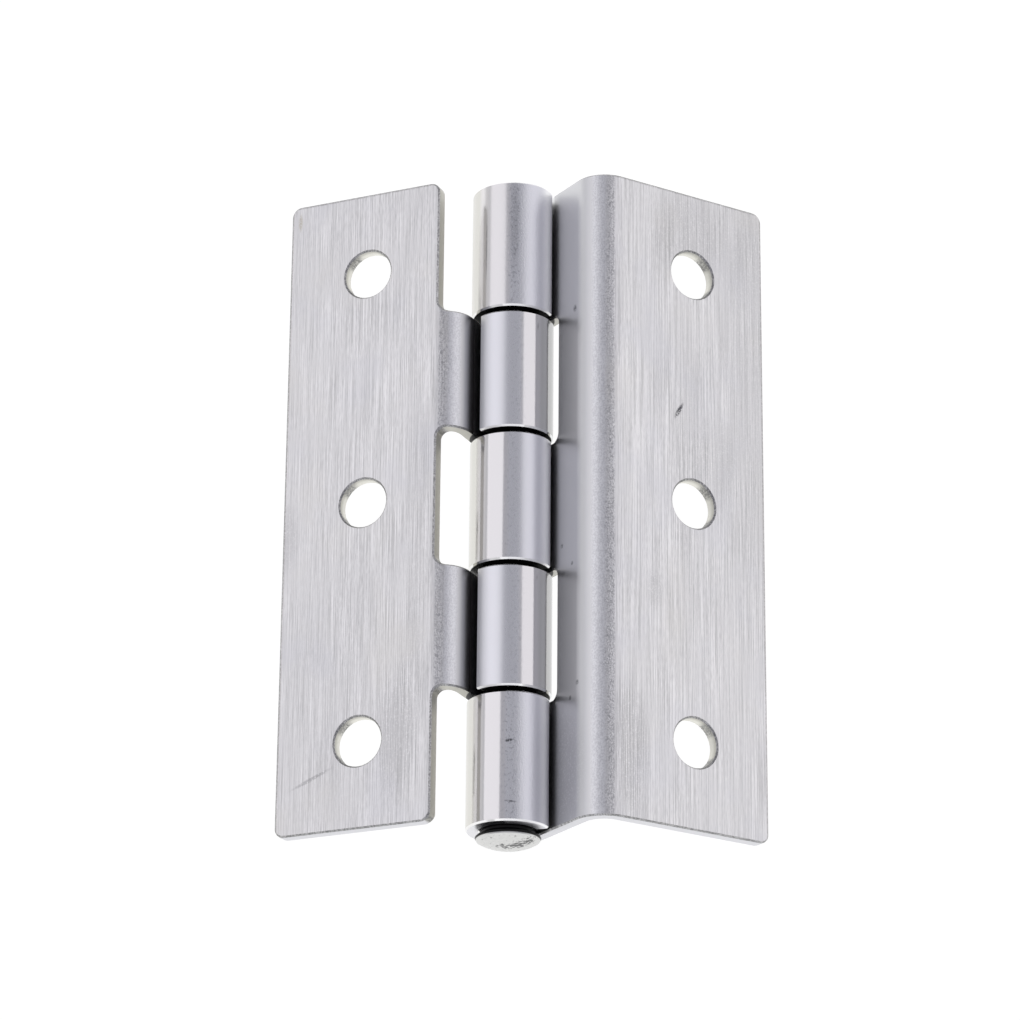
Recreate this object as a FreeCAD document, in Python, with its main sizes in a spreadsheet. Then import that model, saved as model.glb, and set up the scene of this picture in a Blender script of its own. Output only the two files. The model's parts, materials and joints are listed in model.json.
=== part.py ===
import FreeCAD, Part
import Sketcher
import math
import os

# A cranked hinge of stainless sheet: two stamped leaves, each bent square and rolled round one pin.
# Each leaf is drawn in its own frame, with its plate level and the pin axis along Y through the origin.
# The leaves are then turned about the pin until the hinge stands on a table like a low tent.

DOC = FreeCAD.newDocument("cranked_hinge")

# Driving sizes in millimetres
SIZES = {
    # sheet, pin and the knuckles along the pin, from the far end to the near end
    "leaf_length": 60.0,
    "sheet_thickness": 1.25,
    "pin_diameter": 4.8,
    "pin_clearance": 0.05,
    "upper_knuckle": 12.15,
    "middle_knuckle": 12.05,
    "arm_width": 11.15,
    "knuckle_gap": 0.45,
    # flat leaf: outer edge, height of its face over the pin, inside of its bend, depth of its notches
    "flat_reach": 19.62,
    "flat_height": 5.95,
    "flat_bend": 1.65,
    "flat_notch": 4.73,
    "flat_seam": 0.7,
    "flat_hole_edge": 7.87,
    # cranked leaf: the same, and how far its web stands out from the eye
    "cranked_reach": 20.86,
    "cranked_height": 9.47,
    "cranked_bend": 1.65,
    "cranked_seam": 0.3,
    "web_set_out": 0.24,
    "window_top": 3.35,
    "cranked_hole_edge": 7.69,
    # screw holes and rounded corners
    "hole_diameter": 4.5,
    "hole_pitch": 22.1,
    "corner_round": 0.9,
    "notch_round": 1.0,
    "window_round": 0.8,
    "edge_break": 0.15,
    # pin ends
    "head_diameter": 5.75,
    "head_standoff": 0.4,
    "head_rim": 0.35,
    "head_dome": 0.8,
    "tail_length": 0.15,
    "tail_round": 0.4,
}

sheet = DOC.addObject("Spreadsheet::Sheet", "Sizes")
for row, (name, value) in enumerate(SIZES.items(), start=1):
    sheet.set(f"A{row}", name)
    sheet.set(f"B{row}", str(value))
    sheet.setAlias(f"B{row}", name)
DOC.recompute()


def value(rule):
    """The number that a formula of the sheet's sizes gives."""
    return float(sheet.evalExpression(rule))


# Formulas that several sketches share: the eye, the barrel round it, the web and half the leaf
EYE = "(Sizes.pin_diameter / 2 + Sizes.pin_clearance)"
BARREL = f"({EYE} + Sizes.sheet_thickness)"
WEB_FRONT = f"({EYE} + Sizes.web_set_out)"
HALF = "(Sizes.leaf_length / 2)"

# Edges of the flat leaf's two arms along the pin, counted down from the far end
ARM_1_TOP = f"({HALF} - Sizes.upper_knuckle - Sizes.knuckle_gap)"
ARM_1_FOOT = f"({ARM_1_TOP} - Sizes.arm_width)"
ARM_2_TOP = f"({ARM_1_FOOT} - Sizes.middle_knuckle - 2 * Sizes.knuckle_gap)"
ARM_2_FOOT = f"({ARM_2_TOP} - Sizes.arm_width)"

# Names for the sketcher's own numbers: its X axis, whose start is the origin, and the points of a line or arc
AXIS, START, END, CENTRE = -1, 1, 2, 3


def new_sketch(body, name, plane):
    sketch = body.newObject("Sketcher::SketchObject", name)
    support = next(item for item in body.Origin.OriginFeatures if item.Role == plane)
    sketch.AttachmentSupport = (support, "")
    sketch.MapMode = "FlatFace"
    return sketch


def line(sketch, start, end):
    return sketch.addGeometry(Part.LineSegment(FreeCAD.Vector(*start), FreeCAD.Vector(*end)))


def arc(sketch, centre, radius, from_deg, to_deg):
    circle = Part.Circle(FreeCAD.Vector(*centre), FreeCAD.Vector(0, 0, 1), radius)
    return sketch.addGeometry(Part.ArcOfCircle(circle, math.radians(from_deg), math.radians(to_deg)))


def tie(sketch, kind, *ends):
    """Adds a constraint without a number: Coincident, Tangent, Horizontal and so on."""
    sketch.addConstraint(Sketcher.Constraint(kind, *ends))


def measure(sketch, kind, name, rule, *ends):
    """Adds a dimension and ties it to the sheet."""
    index = sketch.addConstraint(Sketcher.Constraint(kind, *ends, value(rule)))
    sketch.renameConstraint(index, name)
    sketch.setExpression(f"Constraints.{name}", rule)


def carry_along_pin(body, name, section):
    """Carries the sheet's section along the whole leaf."""
    pad = body.newObject("PartDesign::Pad", name)
    pad.Profile = section
    pad.SideType = "Symmetric"
    pad.setExpression("Length", "Sizes.leaf_length")
    DOC.recompute()


def cut_through(body, name, outline):
    """Cuts right through the leaf, both ways from the outline's plane."""
    before = body.Shape.Volume
    pocket = body.newObject("PartDesign::Pocket", name)
    pocket.Profile = outline
    pocket.SideType = "Two sides"
    pocket.Type = "ThroughAll"
    pocket.Type2 = "ThroughAll"
    DOC.recompute()
    if body.Shape.Volume >= before:
        raise RuntimeError(f"{name} cuts nothing")


def notch(sketch, name, along, low, high, floor, mouth, corner=None):
    """Draws one notch from low to high along the pin, with a round in both corners of its floor if wanted."""
    across = "Y" if along == "X" else "X"
    turn = 1 if along == "X" else -1
    points = [(value(low), value(mouth)), (value(low), value(floor))]
    points += [(value(high), value(floor)), (value(high), value(mouth))]
    points = [(*point[::turn], 0) for point in points]
    sides = [line(sketch, points[i], points[(i + 1) % 4]) for i in range(4)]
    for i, side in enumerate(sides):
        tie(sketch, "Coincident", side, END, sides[(i + 1) % 4], START)
        tie(sketch, "Vertical" if (i % 2 == 0) == (along == "X") else "Horizontal", side)
    for i in (0, 1) if corner else ():
        sketch.fillet(sides[i], END, value(corner))
        measure(sketch, "Radius", f"{name}_corner_{i + 1}", corner, sketch.GeometryCount - 1)
    measure(sketch, f"Distance{along}", f"{name}_low", low, AXIS, START, sides[0], START)
    measure(sketch, f"Distance{along}", f"{name}_high", high, AXIS, START, sides[2], END)
    measure(sketch, f"Distance{across}", f"{name}_floor", floor, AXIS, START, sides[1], START)
    measure(sketch, f"Distance{across}", f"{name}_mouth", mouth, AXIS, START, sides[3], START)


def screw_holes(body, across):
    """Cuts three plain holes in a row along the plate, the middle one at half length."""
    outline = new_sketch(body, f"{body.Label}_hole_outline", "XY_Plane")
    radius = "Sizes.hole_diameter / 2"
    for name, step in (("near", -1), ("middle", 0), ("far", 1)):
        along = f"{step} * Sizes.hole_pitch"
        centre = FreeCAD.Vector(value(across), value(along), 0)
        hole = outline.addGeometry(Part.Circle(centre, FreeCAD.Vector(0, 0, 1), value(radius)))
        measure(outline, "Radius", f"{name}_radius", radius, hole)
        measure(outline, "DistanceX", f"{name}_across", across, AXIS, START, hole, CENTRE)
        measure(outline, "DistanceY", f"{name}_along", along, AXIS, START, hole, CENTRE)
    cut_through(body, f"{body.Label}_holes", outline)


def round_corners(body, places):
    """Rounds the plate's outer corners: the upright edges at the given places."""
    edges = []
    for index, edge in enumerate(body.Shape.Edges, start=1):
        ends = [vertex.Point for vertex in edge.Vertexes]
        upright = len(ends) == 2 and abs(ends[0].z - ends[1].z) > 0.001
        for x, y in places:
            if upright and all(math.hypot(end.x - x, end.y - y) < 0.001 for end in ends):
                edges.append(f"Edge{index}")
    dress_edges(body, "Fillet", f"{body.Label}_corners", edges, "Radius", "Sizes.corner_round")


def break_edges(body):
    """Takes the sharpness off every edge where two faces of the sheet meet and stand out."""
    shape = body.Shape
    edges = []
    for index, edge in enumerate(shape.Edges, start=1):
        faces = shape.ancestorsOfType(edge, Part.Face)
        if len(faces) != 2:
            continue
        middle = edge.valueAt((edge.FirstParameter + edge.LastParameter) / 2)
        normals = [face.normalAt(*face.Surface.parameter(middle)) for face in faces]
        if normals[0].dot(normals[1]) > math.cos(math.radians(45)):
            continue
        outward = (normals[0] + normals[1]).normalize()
        if not shape.isInside(middle + outward * value("Sizes.edge_break / 3"), 0.0001, True):
            edges.append(f"Edge{index}")
    dress_edges(body, "Chamfer", f"{body.Label}_edges", edges, "Size", "Sizes.edge_break")


def dress_edges(body, kind, name, edges, key, rule):
    base = body.Tip
    dressing = body.newObject(f"PartDesign::{kind}", name)
    dressing.Base = (base, edges)
    dressing.setExpression(key, rule)
    DOC.recompute()


# Flat leaf: a plate bent square into two arms, which are rolled under and over the pin
flat_leaf = DOC.addObject("PartDesign::Body", "flat_leaf")
flat_leaf.Label = "flat_leaf"

section = new_sketch(flat_leaf, "flat_section", "XZ_Plane")
eye, barrel, thick = value(EYE), value(BARREL), value("Sizes.sheet_thickness")
edge_x, face_z = -value("Sizes.flat_reach"), value("Sizes.flat_height")
bend_in = value("Sizes.flat_bend")
bend_out = bend_in + thick
bend_x, bend_z = -eye - bend_out, face_z - bend_out
roll_angle = math.acos((value("Sizes.flat_seam") - eye) / barrel)
roll_x, roll_z = math.cos(roll_angle), math.sin(roll_angle)
roll_stop = 360 + math.degrees(roll_angle)

plate_front = line(section, (edge_x, face_z, 0), (bend_x, face_z, 0))
bend_front = arc(section, (bend_x, bend_z, 0), bend_out, 0, 90)
arm_front = line(section, (-eye, bend_z, 0), (-eye, 0, 0))
eye_wall = arc(section, (0, 0, 0), eye, 180, roll_stop)
roll_end = line(section, (eye * roll_x, eye * roll_z, 0), (barrel * roll_x, barrel * roll_z, 0))
barrel_wall = arc(section, (0, 0, 0), barrel, 180, roll_stop)
arm_back = line(section, (-barrel, 0, 0), (-barrel, bend_z, 0))
bend_back = arc(section, (bend_x, bend_z, 0), bend_in, 0, 90)
plate_back = line(section, (bend_x, face_z - thick, 0), (edge_x, face_z - thick, 0))
plate_edge = line(section, (edge_x, face_z - thick, 0), (edge_x, face_z, 0))

tie(section, "Tangent", plate_front, END, bend_front, END)
tie(section, "Tangent", bend_front, START, arm_front, START)
tie(section, "Tangent", arm_front, END, eye_wall, START)
tie(section, "Coincident", eye_wall, END, roll_end, START)
tie(section, "Coincident", roll_end, END, barrel_wall, END)
tie(section, "Tangent", barrel_wall, START, arm_back, START)
tie(section, "Tangent", arm_back, END, bend_back, START)
tie(section, "Tangent", bend_back, END, plate_back, START)
tie(section, "Coincident", plate_back, END, plate_edge, START)
tie(section, "Coincident", plate_edge, END, plate_front, START)
tie(section, "Coincident", eye_wall, CENTRE, AXIS, START)
tie(section, "Coincident", barrel_wall, CENTRE, AXIS, START)
tie(section, "Coincident", bend_back, CENTRE, bend_front, CENTRE)
for level in (plate_front, plate_back):
    tie(section, "Horizontal", level)
for upright in (arm_front, arm_back, plate_edge):
    tie(section, "Vertical", upright)
tie(section, "PointOnObject", AXIS, START, roll_end)
measure(section, "Radius", "eye", EYE, eye_wall)
measure(section, "Radius", "barrel", BARREL, barrel_wall)
measure(section, "Radius", "bend", "Sizes.flat_bend", bend_back)
measure(section, "DistanceY", "height", "Sizes.flat_height", AXIS, START, plate_front, START)
measure(section, "DistanceX", "reach", "-Sizes.flat_reach", AXIS, START, plate_front, START)
measure(section, "DistanceX", "seam", "Sizes.flat_seam", arm_front, END, roll_end, END)
carry_along_pin(flat_leaf, "flat_sheet", section)

# Three notches between and beside the arms make room for the other leaf's knuckles
outline = new_sketch(flat_leaf, "flat_notch_outline", "XY_Plane")
past_far_end, past_near_end = f"{HALF} + 2 * Sizes.notch_round", f"-{HALF} - 2 * Sizes.notch_round"
for name, low, high in (
    ("far", ARM_1_TOP, past_far_end),
    ("middle", ARM_2_TOP, ARM_1_FOOT),
    ("near", past_near_end, ARM_2_FOOT),
):
    notch(outline, name, "Y", low, high, "-Sizes.flat_notch", f"2 * {BARREL}", "Sizes.notch_round")
cut_through(flat_leaf, "flat_notches", outline)

screw_holes(flat_leaf, "Sizes.flat_hole_edge - Sizes.flat_reach")
half, notch_x = value(HALF), -value("Sizes.flat_notch")
round_corners(flat_leaf, [(x, y) for x in (edge_x, notch_x) for y in (-half, half)])
break_edges(flat_leaf)

# Cranked leaf: a plate bent down into a tall web, whose foot is rolled under and over the pin
cranked_leaf = DOC.addObject("PartDesign::Body", "cranked_leaf")
cranked_leaf.Label = "cranked_leaf"

section = new_sketch(cranked_leaf, "cranked_section", "XZ_Plane")
edge_x, face_z = value("Sizes.cranked_reach"), value("Sizes.cranked_height")
bend_in = value("Sizes.cranked_bend")
bend_out = bend_in + thick
web_x = value(WEB_FRONT)
bend_x, bend_z = web_x + bend_out, face_z - bend_out
foot_x = value("Sizes.web_set_out / 2")
roll_angle = math.acos((web_x - value("Sizes.cranked_seam")) / barrel)
roll_x, roll_z = math.cos(roll_angle), math.sin(roll_angle)
roll_stop = math.degrees(roll_angle)

plate_front = line(section, (edge_x, face_z, 0), (bend_x, face_z, 0))
bend_front = arc(section, (bend_x, bend_z, 0), bend_out, 90, 180)
web_front = line(section, (web_x, bend_z, 0), (web_x, 0, 0))
foot_inside = arc(section, (foot_x, 0, 0), eye + foot_x, 180, 360)
eye_wall = arc(section, (0, 0, 0), eye, roll_stop, 180)
roll_end = line(section, (eye * roll_x, eye * roll_z, 0), (barrel * roll_x, barrel * roll_z, 0))
barrel_wall = arc(section, (0, 0, 0), barrel, roll_stop, 180)
foot_outside = arc(section, (foot_x, 0, 0), barrel + foot_x, 180, 360)
web_back = line(section, (web_x + thick, 0, 0), (web_x + thick, bend_z, 0))
bend_back = arc(section, (bend_x, bend_z, 0), bend_in, 90, 180)
plate_back = line(section, (bend_x, face_z - thick, 0), (edge_x, face_z - thick, 0))
plate_edge = line(section, (edge_x, face_z - thick, 0), (edge_x, face_z, 0))

tie(section, "Tangent", plate_front, END, bend_front, START)
tie(section, "Tangent", bend_front, END, web_front, START)
tie(section, "Tangent", web_front, END, foot_inside, END)
tie(section, "Tangent", foot_inside, START, eye_wall, END)
tie(section, "Coincident", eye_wall, START, roll_end, START)
tie(section, "Coincident", roll_end, END, barrel_wall, START)
tie(section, "Tangent", barrel_wall, END, foot_outside, START)
tie(section, "Tangent", foot_outside, END, web_back, START)
tie(section, "Tangent", web_back, END, bend_back, END)
tie(section, "Tangent", bend_back, START, plate_back, START)
tie(section, "Coincident", plate_back, END, plate_edge, START)
tie(section, "Coincident", plate_edge, END, plate_front, START)
tie(section, "Coincident", eye_wall, CENTRE, AXIS, START)
tie(section, "Coincident", barrel_wall, CENTRE, AXIS, START)
tie(section, "Coincident", foot_outside, CENTRE, foot_inside, CENTRE)
tie(section, "Coincident", bend_back, CENTRE, bend_front, CENTRE)
for level in (plate_front, plate_back):
    tie(section, "Horizontal", level)
for upright in (web_front, web_back, plate_edge):
    tie(section, "Vertical", upright)
tie(section, "PointOnObject", foot_inside, CENTRE, AXIS)
tie(section, "PointOnObject", AXIS, START, roll_end)
measure(section, "Radius", "eye", EYE, eye_wall)
measure(section, "Radius", "barrel", BARREL, barrel_wall)
measure(section, "Radius", "bend", "Sizes.cranked_bend", bend_back)
measure(section, "DistanceX", "web", WEB_FRONT, AXIS, START, web_front, START)
measure(section, "DistanceY", "height", "Sizes.cranked_height", AXIS, START, plate_front, START)
measure(section, "DistanceX", "reach", "Sizes.cranked_reach", AXIS, START, plate_front, START)
measure(section, "DistanceX", "seam", "Sizes.cranked_seam", roll_end, END, web_front, END)
carry_along_pin(cranked_leaf, "cranked_sheet", section)

# Two windows let the other leaf's knuckles in: the roll is parted squarely, the web has rounded corners
slots = new_sketch(cranked_leaf, "slot_outline", "XY_Plane")
windows = new_sketch(cranked_leaf, "window_outline", "YZ_Plane")
below_roll = f"-2 * {BARREL} - Sizes.web_set_out"
for name, top, foot in (("far", ARM_1_TOP, ARM_1_FOOT), ("near", ARM_2_TOP, ARM_2_FOOT)):
    low, high = f"{foot} - Sizes.knuckle_gap", f"{top} + Sizes.knuckle_gap"
    notch(slots, name, "Y", low, high, WEB_FRONT, f"-2 * {BARREL}")
    notch(windows, name, "X", low, high, "Sizes.window_top", below_roll, "Sizes.window_round")
cut_through(cranked_leaf, "roll_slots", slots)
cut_through(cranked_leaf, "web_windows", windows)

screw_holes(cranked_leaf, "Sizes.cranked_reach - Sizes.cranked_hole_edge")
round_corners(cranked_leaf, [(edge_x, y) for y in (-half, half)])
break_edges(cranked_leaf)

# Hinge pin: turned round its axis, with a low domed head at the near end and a rounded tail at the far end
hinge_pin = DOC.addObject("PartDesign::Body", "hinge_pin")
hinge_pin.Label = "hinge_pin"

section = new_sketch(hinge_pin, "pin_section", "YZ_Plane")
shank, head = value("Sizes.pin_diameter / 2"), value("Sizes.head_diameter / 2")
tail_y = half + value("Sizes.tail_length")
tail_in = value("Sizes.tail_round")
neck_y = -half - value("Sizes.head_standoff")
rim_y = neck_y - value("Sizes.head_rim")
dome_y = rim_y - value("Sizes.head_dome")
dome_radius = (head ** 2 + value("Sizes.head_dome") ** 2) / (2 * value("Sizes.head_dome"))
dome_angle = math.degrees(math.asin(head / dome_radius))

axis = line(section, (dome_y, 0, 0), (tail_y, 0, 0))
tail_face = line(section, (tail_y, 0, 0), (tail_y, shank - tail_in, 0))
tail_edge = arc(section, (tail_y - tail_in, shank - tail_in, 0), tail_in, 0, 90)
shank_side = line(section, (tail_y - tail_in, shank, 0), (neck_y, shank, 0))
head_seat = line(section, (neck_y, shank, 0), (neck_y, head, 0))
head_rim = line(section, (neck_y, head, 0), (rim_y, head, 0))
dome = arc(section, (dome_y + dome_radius, 0, 0), dome_radius, 180 - dome_angle, 180)

tie(section, "Coincident", axis, END, tail_face, START)
tie(section, "Tangent", tail_face, END, tail_edge, START)
tie(section, "Tangent", tail_edge, END, shank_side, START)
tie(section, "Coincident", shank_side, END, head_seat, START)
tie(section, "Coincident", head_seat, END, head_rim, START)
tie(section, "Coincident", head_rim, END, dome, START)
tie(section, "Coincident", dome, END, axis, START)
tie(section, "PointOnObject", axis, START, AXIS)
tie(section, "PointOnObject", dome, CENTRE, AXIS)
for level in (axis, shank_side, head_rim):
    tie(section, "Horizontal", level)
for upright in (tail_face, head_seat):
    tie(section, "Vertical", upright)
measure(section, "Radius", "tail_edge", "Sizes.tail_round", tail_edge)
measure(section, "DistanceX", "tail", f"{HALF} + Sizes.tail_length", AXIS, START, tail_face, START)
measure(section, "DistanceY", "shank", "Sizes.pin_diameter / 2", AXIS, START, shank_side, END)
measure(section, "DistanceX", "neck", f"-{HALF} - Sizes.head_standoff", AXIS, START, head_seat, END)
measure(section, "DistanceY", "head", "Sizes.head_diameter / 2", AXIS, START, head_seat, END)
measure(section, "DistanceX", "rim", "Sizes.head_rim", head_rim, END, head_rim, START)
measure(section, "DistanceX", "dome", "Sizes.head_dome", dome, END, dome, START)

turned = hinge_pin.newObject("PartDesign::Revolution", "turned_pin")
turned.Profile = section
turned.ReferenceAxis = (section, ["H_Axis"])
turned.Angle = 360
DOC.recompute()
break_edges(hinge_pin)


def lean(across, up, drop):
    """The angle about the pin at which a corner (across, up) of a leaf comes down to the given drop."""
    return math.degrees(math.asin(drop / math.hypot(across, up)) + math.atan2(up, across))


# The hinge stands on its cranked leaf's roll and on the lower outer edge of each plate
edge_break = value("Sizes.edge_break")
flat_foot = value("Sizes.flat_reach") - edge_break
cranked_foot = value("Sizes.cranked_reach") - edge_break - foot_x
flat_under = value("Sizes.flat_height") - thick
cranked_under = value("Sizes.cranked_height") - thick
cranked_lean = lean(cranked_foot, cranked_under, barrel + foot_x)
pin_z = barrel + foot_x + foot_x * math.sin(math.radians(cranked_lean))
flat_lean = lean(flat_foot, flat_under, pin_z)


def span(reach, height, angle):
    """How far a plate's outer face corner stands out sideways from the pin."""
    turn = math.radians(angle)
    return reach * math.cos(turn) + height * math.sin(turn)


# The part's origin is under the middle of its bounding box, so the pin stands a little off it
flat_span = span(value("Sizes.flat_reach"), value("Sizes.flat_height"), flat_lean)
cranked_span = span(value("Sizes.cranked_reach"), value("Sizes.cranked_height"), cranked_lean)
pin_x = (flat_span - cranked_span) / 2
pin_y = -(dome_y + tail_y) / 2
pin_place = FreeCAD.Vector(pin_x, pin_y, pin_z)
along_pin = FreeCAD.Vector(0, 1, 0)
flat_leaf.Placement = FreeCAD.Placement(pin_place, FreeCAD.Rotation(along_pin, -flat_lean))
cranked_leaf.Placement = FreeCAD.Placement(pin_place, FreeCAD.Rotation(along_pin, cranked_lean))
hinge_pin.Placement = FreeCAD.Placement(pin_place, FreeCAD.Rotation())
DOC.recompute()

for item in DOC.Objects:
    if "Invalid" in item.State or "Error" in item.State:
        raise RuntimeError(f"{item.Label} did not build: {item.State}")

os.makedirs("parts", exist_ok=True)
for body in (flat_leaf, cranked_leaf, hinge_pin):
    if body.Shape.isNull() or not body.Shape.isValid():
        raise RuntimeError(f"{body.Label} has no valid shape")
    body.Shape.exportStep(f"parts/{body.Label}.step")
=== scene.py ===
import json
import math

import bmesh
import bpy
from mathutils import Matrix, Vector

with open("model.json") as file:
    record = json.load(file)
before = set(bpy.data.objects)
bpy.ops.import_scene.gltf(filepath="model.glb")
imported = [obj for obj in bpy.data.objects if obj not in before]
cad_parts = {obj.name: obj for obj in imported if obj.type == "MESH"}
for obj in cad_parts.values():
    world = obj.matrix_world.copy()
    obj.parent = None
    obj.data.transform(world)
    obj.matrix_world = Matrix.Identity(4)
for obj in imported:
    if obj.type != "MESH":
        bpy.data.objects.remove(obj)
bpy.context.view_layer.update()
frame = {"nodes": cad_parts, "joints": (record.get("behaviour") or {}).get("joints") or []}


# Flat leaf: one stainless sheet, brushed along its length, then stamped, bent square and rolled into two
# knuckles round the pin. The plate keeps the brushing, the bend is stretched to a rough grain, and the die
# rubbed the roll bright except near its free end, where a lighter sheen is painted on. The cut edges are
# bare and a little warmer.
class Wire:
    """One output in a material's nodes: arithmetic on it adds Math nodes."""

    def __init__(self, tree, socket=None):
        self.tree = tree
        self.socket = socket

    def node(self, kind, settings, inputs, output=0):
        """Adds a node of any kind: first its settings, then the values or wires of its sockets."""
        made = self.tree.nodes.new(kind)
        for key, setting in settings.items():
            setattr(made, key, setting)
        for key, given in inputs.items():
            if isinstance(given, Wire):
                self.tree.links.new(given.socket, made.inputs[key])
            else:
                made.inputs[key].default_value = given
        return Wire(self.tree, made.outputs[output] if made.outputs else None)

    def other(self, output):
        return Wire(self.tree, self.socket.node.outputs[output])

    def maths(self, operation, first, second=0.0):
        return self.node("ShaderNodeMath", {"operation": operation}, {0: first, 1: second})

    def __add__(self, other):
        return self.maths("ADD", self, other)

    def __sub__(self, other):
        return self.maths("SUBTRACT", self, other)

    def __rsub__(self, other):
        return self.maths("SUBTRACT", other, self)

    def __mul__(self, other):
        return self.maths("MULTIPLY", self, other)

    def __pow__(self, power):
        return self.maths("POWER", self, power)

    def __abs__(self):
        return self.maths("ABSOLUTE", self)

    __radd__ = __add__
    __rmul__ = __mul__


def rise(wire, low, high):
    """A soft step from 0 at low to 1 at high; it falls where low is the larger."""
    step = {"interpolation_type": "SMOOTHSTEP"}
    return wire.node("ShaderNodeMapRange", step, {"Value": wire, "From Min": low, "From Max": high})


def larger(first, second):
    return first.maths("MAXIMUM", first, second)


def tint(amount, bare, full):
    """The colour bare where amount is 0 and full where it is 1."""
    sockets = {"Factor": amount, 6: bare, 7: full}
    return amount.node("ShaderNodeMix", {"data_type": "RGBA"}, sockets, 2)


def grains(place, stretch, detail=2.0, roughness=0.5):
    """Noise with its own number of grains per millimetre along each axis of place."""
    scaled = place.node("ShaderNodeVectorMath", {"operation": "MULTIPLY"}, {0: place, 1: stretch})
    sockets = {"Vector": scaled, "Scale": 1.0, "Detail": detail, "Roughness": roughness}
    return place.node("ShaderNodeTexNoise", {}, sockets)


def scuff(place, centre, half, turned):
    """A soft oval spot in place: its centre, its half sizes, and how far it is turned about the face."""
    oval = {"Vector": place, "Location": centre, "Rotation": (0, 0, math.radians(turned)), "Scale": half}
    moved = place.node("ShaderNodeMapping", {"vector_type": "TEXTURE"}, oval)
    span = place.node("ShaderNodeVectorMath", {"operation": "LENGTH"}, {0: moved}, "Value")
    return rise(span, 1.0, 0.3)


PIN_AXIS = Vector(frame["joints"][0]["pos_m"])
HALF_LENGTH = 30.0
END_KNUCKLE = 18.0
ROLL_RADIUS = 3.7
BEND_RADIUS = 2.9


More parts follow.
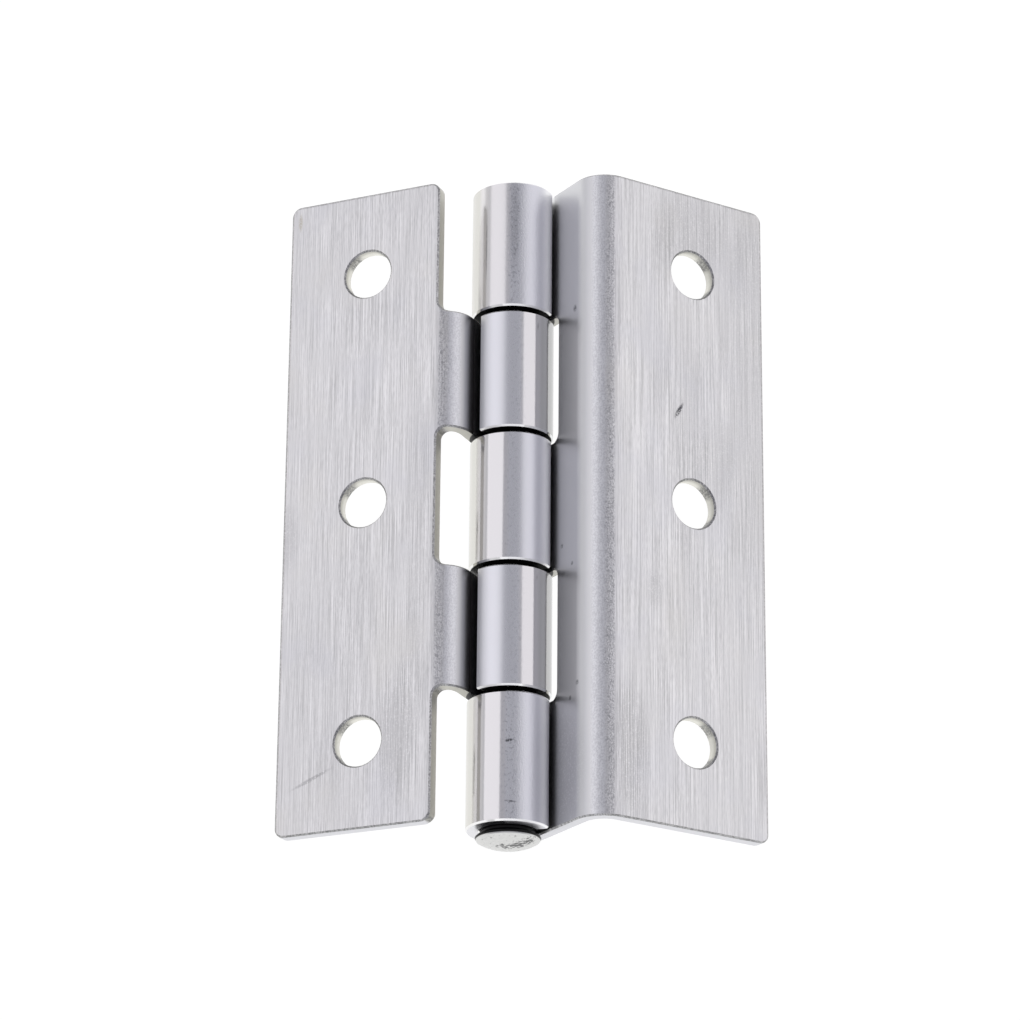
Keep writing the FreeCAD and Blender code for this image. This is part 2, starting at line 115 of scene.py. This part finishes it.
def sheet_steel(name, lean, side, reach, bend, shade_top, free_end_sheen, flank_reflection, marks):
    """Brushed stainless sheet in a leaf's own frame, in mm: u across from the pin, v along it, w up.
    The plate ends at reach, bend is the bend's centre, and painted shade darkens the corner below shade_top.
    The roll's free-end side is painted lighter, in the sheen colour free_end_sheen, and its far side, from
    the angle in flank_reflection on, in the colour in flank_reflection, a painted reflection. A mark has its
    centre, its half sizes, its turn in degrees, its strength and its colour."""
    material = bpy.data.materials.new(name)
    material.use_nodes = True
    tree = material.node_tree
    tree.nodes.clear()
    start = Wire(tree)
    spot = start.node("ShaderNodeTexCoord", {}, {}, "Object")
    turn = {"Vector": spot, "Location": PIN_AXIS, "Rotation": (0, lean, 0), "Scale": (0.001, 0.001, 0.001)}
    place = start.node("ShaderNodeMapping", {"vector_type": "TEXTURE"}, turn)
    u = place.node("ShaderNodeSeparateXYZ", {}, {0: place}, "X")
    v, w = u.other("Y"), u.other("Z")
    out = u * side

    # Parts of the sheet: depth is measured down from the outer face, tilt from the plate round to the web
    bend_out, bend_up = bend
    inward = larger(bend_out - out, 0.0)
    upward = larger(w - bend_up, 0.0)
    depth = BEND_RADIUS - (inward * inward + upward * upward) ** 0.5
    tilt = inward.maths("ARCTAN2", inward, w - bend_up)
    plate = rise(out, bend_out - 0.3, bend_out + 0.3)
    level_side = rise(tilt, 0.45, 0.15)
    wander = grains(place, (0.6, 0.35, 0.6), 2.0) - 0.5
    crest = rise(tilt, 0.24, 0.32) * rise(tilt + wander * 0.6, 0.68, 0.40)
    shoulder = rise(tilt, 0.48, 0.64) * rise(tilt, 1.10, 0.90)
    web = rise(tilt, 0.88, 1.20)
    around = out.maths("ARCTAN2", out, w)
    roll = rise((u * u + w * w) ** 0.5, ROLL_RADIUS + 0.10, ROLL_RADIUS + 0.04)
    rubbed = roll * larger(rise(around, -0.58, -0.72), rise(around, 1.60, 2.20))
    dull_and_sheen = roll * rise(around, -0.40, 0.05) * rise(around, 2.20, 1.60)
    lip_highlight = dull_and_sheen * rise(around, 0.15, 0.45)
    far_side_reflection = roll * larger(rise(around, flank_reflection[0], flank_reflection[0] - 0.2), rise(around, 2.20, 2.80))

    # Brushing: hair-fine long lines and short ticks along v, stronger in some patches than in others and
    # fainter towards the plate's outer edge, over warm and bluish clouds
    hair = grains(place, (24.0, 0.14, 24.0), 0.0)
    tick = grains(place, (15.0, 1.3, 15.0), 1.0)
    patch = grains(place, (0.35, 0.20, 0.35), 2.0)
    cloud = grains(place, (0.16, 0.12, 0.16), 3.0)
    grit = grains(place, (8.0, 6.0, 8.0), 2.0, 0.6)
    brushed = ((hair - 0.5) * 1.7 + (tick - 0.5) * 0.8) * (0.6 + 0.8 * rise(patch, 0.35, 0.65))
    brushed = brushed * (1.05 - 0.4 * rise(out, 12.5, 19.0))
    grained = brushed * (0.12 + 0.88 * level_side + 0.4 * crest) + (grit - 0.5) * crest * 3.2
    colour = tint(rise(grained, -0.5, 0.5), (0.60, 0.595, 0.595, 1), (0.95, 0.94, 0.94, 1))
    colour = tint(rise(cloud, 0.52, 0.72) * 0.3, colour, (0.80, 0.78, 0.74, 1))
    colour = tint(rise(cloud, 0.48, 0.30) * 0.3, colour, (0.72, 0.72, 0.76, 1))

    # Bend and roll: a dark stretched grain on the crest with painted sparkle beside it, bluish where the die
    # only bent the sheet, with a painted sheen and a near-white painted highlight on the free-end side, warm
    # and bright where it was rubbed, pitted between the two, a painted reflection of the other leaf on the
    # far side, and painted shade in the corner beside the knuckles
    pits = rise(grains(place, (4.6, 3.8, 4.6), 2.0), 0.54, 0.66)
    worn = (roll - rubbed) * rise(abs(v), END_KNUCKLE - 0.5, END_KNUCKLE + 0.5)
    pitted = roll * rise(around, -0.85, -0.65) * rise(around, -0.30, -0.50)
    # Painted sparkle: bright glints of the grain are painted onto the shoulder beside the crest.
    sparkle = tint(rise(grit + (tick - 0.5) * 0.4, 0.36, 0.64), (0.73, 0.73, 0.75, 1), (0.89, 0.89, 0.91, 1))
    colour = tint(shoulder, colour, sparkle)
    colour = tint(crest * 0.15, colour, (0.42, 0.42, 0.44, 1))
    colour = tint(web, colour, (0.72, 0.721, 0.74, 1))
    # Painted shade: the sheet low in the crevice beside the knuckles is darkened, as the shaded corner
    # looks.
    corner_shade = rise(tilt, 0.68, 0.95) * rise(w, shade_top, shade_top - 1.4)
    colour = tint(corner_shade * 0.5, colour, (0.10, 0.10, 0.11, 1))
    colour = tint(roll, colour, (0.775, 0.777, 0.805, 1))
    # Painted sheen: the roll's free-end side is given a lighter colour, and most of it a near-white painted
    # highlight.
    colour = tint(dull_and_sheen, colour, free_end_sheen)
    colour = tint(lip_highlight, colour, (0.97, 0.97, 0.985, 1))
    colour = tint(rubbed, colour, (0.81, 0.793, 0.797, 1))
    # Painted reflection: the roll's far side takes a colour standing for the neighbouring leaf it mirrors,
    # darker on the flat leaf and warm grey on the cranked one.
    colour = tint(far_side_reflection, colour, flank_reflection[1])
    colour = tint(pits * (pitted * (0.15 + 0.25 * worn) + crest * 0.4), colour, (0.24, 0.24, 0.26, 1))

    # Cut edges: the walls of holes and notches are rubbed dark by the punch above and torn pale below, with
    # a ragged line of painted shade along the plate's far end and outer edge, painted highlights on the
    # knuckles' end chamfers, and painted shade on the faces between the knuckles
    facing = start.node("ShaderNodeTexCoord", {}, {}, "Normal")
    along = abs(facing.node("ShaderNodeSeparateXYZ", {}, {0: facing}, "Y"))
    square = (math.sin(lean), 0, math.cos(lean))
    dot = {"operation": "DOT_PRODUCT"}
    level = abs(facing.node("ShaderNodeVectorMath", dot, {0: facing, 1: square}, "Value"))
    cut = rise(out, bend_out - 1.0, bend_out - 0.9)
    wall = larger(rise(along, 0.8, 0.95), cut * rise(level, 0.55, 0.3))
    bevel = rise(along, 0.35, 0.6) * rise(along, 0.95, 0.8)
    burr = larger(cut * rise(level, 0.93, 0.82) * rise(level, 0.5, 0.65), bevel * (1 - roll))
    torn = rise(depth, 0.2, 0.8) * (0.1 + 0.9 * plate)
    end = rise(along, 0.8, 0.95) * rise(abs(v), HALF_LENGTH - 0.7, HALF_LENGTH - 0.3)
    shear = grains(place, (3.0, 3.0, 1.2), 2.0)
    colour = tint(wall * 0.85, colour, tint(torn, (0.58, 0.57, 0.51, 1), (0.88, 0.87, 0.80, 1)))
    colour = tint(end, colour, (0.75, 0.75, 0.775, 1))
    ragged = rise(grit, 0.40, 0.58)
    # Painted shade: a ragged dark line along the plate's far end and outer edge, the shadow of the burr.
    far_edge = rise(v, HALF_LENGTH - 0.32, HALF_LENGTH - 0.14)
    border_shade = level_side * larger(far_edge, rise(out, reach - 0.32, reach - 0.14))
    colour = tint(border_shade * (0.25 + 0.45 * ragged), colour, (0.30, 0.29, 0.28, 1))
    colour = tint(burr * (0.38 + 0.52 * ragged), colour, (0.22, 0.22, 0.22, 1))
    # Painted highlight: the chamfers at the knuckle ends are lightened nearly to white.
    colour = tint(bevel * roll * 0.7, colour, (0.95, 0.95, 0.95, 1))
    # Painted shade: the knuckle faces in the gaps between the knuckles are made nearly black.
    gap_shade = roll * rise(along, 0.8, 0.95) * rise(abs(v), HALF_LENGTH - 0.4, HALF_LENGTH - 0.8)
    colour = tint(gap_shade * 0.95, colour, (0.03, 0.03, 0.03, 1))
    for centre, half, turned, amount, stain in marks:
        spotty = rise(grit, 0.30, 0.50) * amount
        colour = tint(scuff(place, centre, half, turned) * spotty, colour, stain)

    # Finish: the rubbed roll is the smoothest, a little less so on the far knuckle
    roughness = 0.38 - 0.08 * crest - 0.10 * roll - 0.16 * rubbed + 0.08 * dull_and_sheen
    far_knuckle = rise(v, END_KNUCKLE - 0.5, END_KNUCKLE + 0.5)
    roughness = roughness + (tick - 0.5) * 0.08 + wall * 0.12 + rubbed * far_knuckle * 0.08
    relief = (grit - 0.5) * (crest * 14.0 + worn * 5.0 + 0.5) + shear * wall
    bump = relief.node("ShaderNodeBump", {}, {"Strength": 0.4, "Distance": 0.00001, "Height": relief})
    sockets = {"Base Color": colour, "Metallic": 1.0, "Roughness": roughness, "Normal": bump}
    steel = start.node("ShaderNodeBsdfPrincipled", {}, sockets)
    start.node("ShaderNodeOutputMaterial", {}, {"Surface": steel})
    return material


FLAT_LEAN = math.radians(-24.750)
FLAT_REACH = 19.62
FLAT_BEND = (5.35, 3.05)
FLAT_SHADE_TOP = 5.2
WARM_STAIN = (0.50, 0.46, 0.36, 1)
DARK_MARK = (0.10, 0.10, 0.11, 1)
FLAT_MARKS = (
    # A stain in the far corner and a long scratch at the near end
    ((-18.71, 28.40, 5.95), (0.28, 1.10, 1.0), 0, 0.6, WARM_STAIN),
    ((-16.14, -25.06, 5.95), (2.60, 0.25, 1.0), 22.5, 0.35, DARK_MARK),
    # Large faint darker patches on the plate
    ((-19.05, -2.40, 5.95), (1.40, 4.50, 1.0), 0, 0.15, DARK_MARK),
    ((-7.90, -22.60, 5.95), (2.60, 8.50, 1.0), 0, 0.14, DARK_MARK),
    ((-6.30, -6.00, 5.95), (1.80, 26.0, 1.0), 0, 0.08, DARK_MARK),
    ((-13.0, -18.0, 5.95), (9.00, 24.0, 1.0), 0, 0.05, DARK_MARK),
)
FLAT_ROLL_SHEEN = (0.87, 0.87, 0.91, 1)
FLAT_FLANK_REFLECTION = (-1.05, (0.50, 0.50, 0.50, 1))
flat_steel = sheet_steel(
    "flat_leaf_steel", FLAT_LEAN, -1, FLAT_REACH, FLAT_BEND, FLAT_SHADE_TOP, FLAT_ROLL_SHEEN, FLAT_FLANK_REFLECTION, FLAT_MARKS
)
frame["nodes"]["flat_leaf"].data.materials.clear()
frame["nodes"]["flat_leaf"].data.materials.append(flat_steel)


# Cranked leaf: the same sheet with a tall web between its bend and the three knuckles rolled at its foot.
# Its plate is brushed too and carries a slanted scratch; the crest of the bend shows the stretched grain.
CRANKED_LEAN = math.radians(31.685)
CRANKED_REACH = 20.86
CRANKED_BEND = (5.59, 6.57)
CRANKED_SHADE_TOP = 2.5
CRANKED_MARKS = (
    # The slanted scratch, and large faint darker patches on the plate
    ((11.60, 8.56, 9.47), (0.28, 1.15, 1.0), -30, 1.0, DARK_MARK),
    ((8.95, -8.90, 9.47), (1.20, 2.60, 1.0), 0, 0.16, DARK_MARK),
    ((12.60, 25.80, 9.47), (5.50, 6.50, 1.0), 0, 0.16, DARK_MARK),
    ((15.60, 4.30, 9.47), (3.00, 6.50, 1.0), 0, 0.10, DARK_MARK),
    ((6.40, -24.00, 9.47), (2.60, 8.50, 1.0), 0, 0.18, DARK_MARK),
    ((20.0, 12.00, 9.47), (5.50, 30.0, 1.0), 0, 0.09, DARK_MARK),
    ((18.6, 27.00, 9.47), (4.50, 8.00, 1.0), 0, 0.07, DARK_MARK),
    ((12.6, 4.00, 9.47), (2.60, 20.0, 1.0), 0, 0.08, DARK_MARK),
    # A darker near end of the web, and small darker spots on it
    ((2.69, -25.00, 4.00), (1.0, 8.00, 5.00), 0, 0.20, DARK_MARK),
    ((2.69, 17.56, 6.14), (1.0, 0.45, 0.35), 0, 0.7, DARK_MARK),
    ((2.69, -4.48, 4.19), (1.0, 0.30, 0.25), 0, 0.6, DARK_MARK),
    ((2.69, -6.56, 5.81), (1.0, 0.25, 0.25), 0, 0.6, DARK_MARK),
    ((2.69, -17.73, 6.68), (1.0, 0.30, 0.30), 0, 0.6, DARK_MARK),
    ((2.69, -18.88, 5.58), (1.0, 0.30, 0.25), 0, 0.6, DARK_MARK),
    # Nicks on the near knuckle, and the worn lines along the far one
    ((-1.96, -22.85, 3.14), (0.45, 0.18, 0.6), 15, 1.0, DARK_MARK),
    ((-1.80, -28.30, 3.23), (0.70, 0.12, 0.6), -8, 0.7, DARK_MARK),
    ((-3.54, 24.00, 1.08), (0.30, 4.50, 0.12), 0, 0.5, DARK_MARK),
    ((-1.90, 26.00, 3.17), (0.60, 6.50, 0.60), 0, 0.28, DARK_MARK),
)
CRANKED_ROLL_SHEEN = (0.79, 0.79, 0.84, 1)
CRANKED_FLANK_REFLECTION = (-1.40, (0.72, 0.71, 0.67, 1))
cranked_steel = sheet_steel(
    "cranked_leaf_steel", CRANKED_LEAN, 1, CRANKED_REACH, CRANKED_BEND, CRANKED_SHADE_TOP,
    CRANKED_ROLL_SHEEN, CRANKED_FLANK_REFLECTION, CRANKED_MARKS
)
frame["nodes"]["cranked_leaf"].data.materials.clear()
frame["nodes"]["cranked_leaf"].data.materials.append(cranked_steel)


# Hinge pin: a turned stainless pin through all five knuckles, painted nearly black inside them for the shade
# in the knuckle gaps together with old oil. Its domed head is satin and pale, with a dark mottled stain
# where the punch met it.
HEAD_RIM = -30.75
pin_steel = bpy.data.materials.new("pin_steel")
pin_steel.use_nodes = True
pin_steel.node_tree.nodes.clear()
start = Wire(pin_steel.node_tree)
spot = start.node("ShaderNodeTexCoord", {}, {}, "Object")
turn = {"Vector": spot, "Location": PIN_AXIS, "Scale": (0.001, 0.001, 0.001)}
place = start.node("ShaderNodeMapping", {"vector_type": "TEXTURE"}, turn)
across = place.node("ShaderNodeSeparateXYZ", {}, {0: place}, "X")
along, up = across.other("Y"), across.other("Z")
speck = grains(place, (5.0, 5.0, 5.0), 3.0, 0.7)
mottle = grains(place, (2.6, 2.6, 4.2), 3.0, 0.7)
slant = rise(abs(up - 0.75 - across * 0.20), 1.0, 0.1) * rise(abs(across - 0.85), 2.1, 1.0)
stain = rise(mottle + slant * 0.20, 0.60, 0.72) * rise(along, HEAD_RIM - 0.01, HEAD_RIM - 0.05)
# Painted shade together with old oil: the shank inside the knuckles is made nearly black, as the gaps look.
shank_shade_and_oil = rise(along, HEAD_RIM - 0.01, HEAD_RIM + 0.05) * rise(along, HALF_LENGTH - 0.1, HALF_LENGTH - 0.4)
colour = tint(speck, (0.56, 0.56, 0.55, 1), (0.78, 0.78, 0.765, 1))
colour = tint(stain * 0.85, colour, (0.14, 0.14, 0.14, 1))
colour = tint(shank_shade_and_oil, colour, (0.02, 0.02, 0.02, 1))
bump = speck.node("ShaderNodeBump", {}, {"Strength": 0.3, "Distance": 0.00002, "Height": speck})
sockets = {"Base Color": colour, "Metallic": 1.0, "Roughness": 0.3 + stain * 0.3, "Normal": bump}
steel = start.node("ShaderNodeBsdfPrincipled", {}, sockets)
start.node("ShaderNodeOutputMaterial", {}, {"Surface": steel})
frame["nodes"]["hinge_pin"].data.materials.clear()
frame["nodes"]["hinge_pin"].data.materials.append(pin_steel)


# Table: a large white sheet of paper that the hinge stands on. It looks white to the eye and in the metal,
# and keeps only a trace of the hinge's shadow.
paper = bpy.data.materials.new("white_paper")
paper.use_nodes = True
paper.node_tree.nodes.clear()
start = Wire(paper.node_tree)
seen = start.node("ShaderNodeLightPath", {}, {}, "Is Camera Ray")
seen = seen + seen.other("Is Glossy Ray") + seen.other("Is Transmission Ray")
matt = start.node("ShaderNodeBsdfDiffuse", {}, {"Color": (0.85, 0.85, 0.85, 1)})
shade = start.node("ShaderNodeBsdfDiffuse", {}, {"Color": (0.15, 0.15, 0.15, 1)})
glow = start.node("ShaderNodeEmission", {}, {"Color": (0.95, 0.95, 0.95, 1), "Strength": 1.0})
white = start.node("ShaderNodeAddShader", {}, {0: shade, 1: glow})
mixed = start.node("ShaderNodeMixShader", {}, {0: seen.maths("MINIMUM", seen, 1.0), 1: matt, 2: white})
start.node("ShaderNodeOutputMaterial", {}, {"Surface": mixed})

sheet = bmesh.new()
bmesh.ops.create_grid(sheet, x_segments=1, y_segments=1, size=2.0)
bmesh.ops.translate(sheet, verts=sheet.verts, vec=(0, 0, -0.00005))
table_mesh = bpy.data.meshes.new("table")
sheet.to_mesh(table_mesh)
sheet.free()
table_mesh.materials.append(paper)
table = bpy.data.objects.new("table", table_mesh)
bpy.context.scene.collection.objects.link(table)


# Studio: a dim room, paler near the floor, with a large softbox on each side and a low one in front. The gap
# between the side boxes overhead shows as the grey stripe down each knuckle and along the crest.
world = bpy.data.worlds.new("dim_room")
world.use_nodes = True
world.node_tree.nodes.clear()
start = Wire(world.node_tree)
toward = start.node("ShaderNodeTexCoord", {}, {}, "Generated")
height = toward.node("ShaderNodeSeparateXYZ", {}, {0: toward}, "Z")
room = tint(rise(height, 0.10, 0.45), (0.68, 0.68, 0.69, 1), (0.43, 0.43, 0.47, 1))
glow = start.node("ShaderNodeBackground", {}, {"Color": room, "Strength": 1.0})
start.node("ShaderNodeOutputWorld", {}, {"Surface": glow})
bpy.context.scene.world = world

for name, place, watts, colour in (
    ("left_softbox", (-0.55, 0.15, 0.50), 0.69, (1.0, 0.985, 0.99)),
    ("right_softbox", (0.60, 0.20, 0.42), 0.63, (1.0, 0.98, 0.985)),
    ("front_softbox", (0.0, -0.80, 0.30), 0.60, (1.0, 1.0, 1.0)),
):
    lamp = bpy.data.lights.new(name, "AREA")
    lamp.shape = "RECTANGLE"
    lamp.size = 0.7
    lamp.size_y = 0.6
    lamp.energy = watts
    lamp.color = colour
    softbox = bpy.data.objects.new(name, lamp)
    softbox.location = place
    softbox.rotation_euler = (-Vector(place)).to_track_quat("-Z", "Y").to_euler()
    softbox.visible_camera = False
    bpy.context.scene.collection.objects.link(softbox)


# Camera: high above the near end, looking down along the pin, as the photograph was taken.
camera_data = bpy.data.cameras.new("camera")
camera_data.sensor_width = 36.0
camera_data.lens = 146.278
camera_data.clip_start = 0.01
camera = bpy.data.objects.new("camera", camera_data)
camera.location = (-0.003436, -0.129071, 0.347748)
camera.rotation_euler = tuple(math.radians(angle) for angle in (20.6206, -0.5471, 0.5096))
bpy.context.scene.collection.objects.link(camera)
bpy.context.scene.camera = camera
bpy.context.scene.view_settings.view_transform = "Standard"
